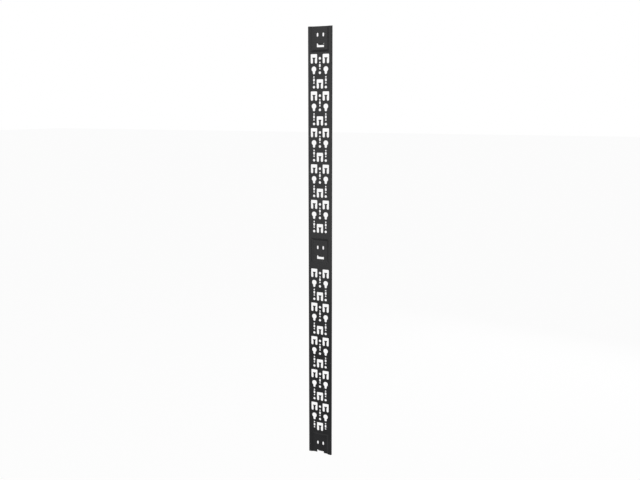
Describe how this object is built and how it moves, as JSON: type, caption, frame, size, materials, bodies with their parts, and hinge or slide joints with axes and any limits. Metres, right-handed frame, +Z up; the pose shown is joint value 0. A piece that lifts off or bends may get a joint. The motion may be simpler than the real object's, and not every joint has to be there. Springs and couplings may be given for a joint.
{
  "type": "vertical cable manager",
  "caption": "Tall narrow perforated steel panel with folded edges, tie tongues and keyholes, held to a rack by dished plates with slots and hooks.",
  "frame": {"origin": "on the rear face of the upper mounting plate, midway between its two fixing slots", "axes": "+Z up along the panel's length, +Y to the rear, into the rack upright, +X across the panel to the right as seen from the front"},
  "size_m": [0.1134, 0.0133, 1.913],
  "materials": {
    "powder_coat_panel": "matt black powder coat on steel sheet",
    "powder_coat_plate": "matt black powder coat on steel sheet"
  },
  "bodies": {
    "root": {"panel": "powder_coat_panel", "upper_mount_plate": "powder_coat_plate", "middle_mount_plate": "powder_coat_plate", "lower_mount_plate": "powder_coat_plate"}
  },
  "joints": []
}
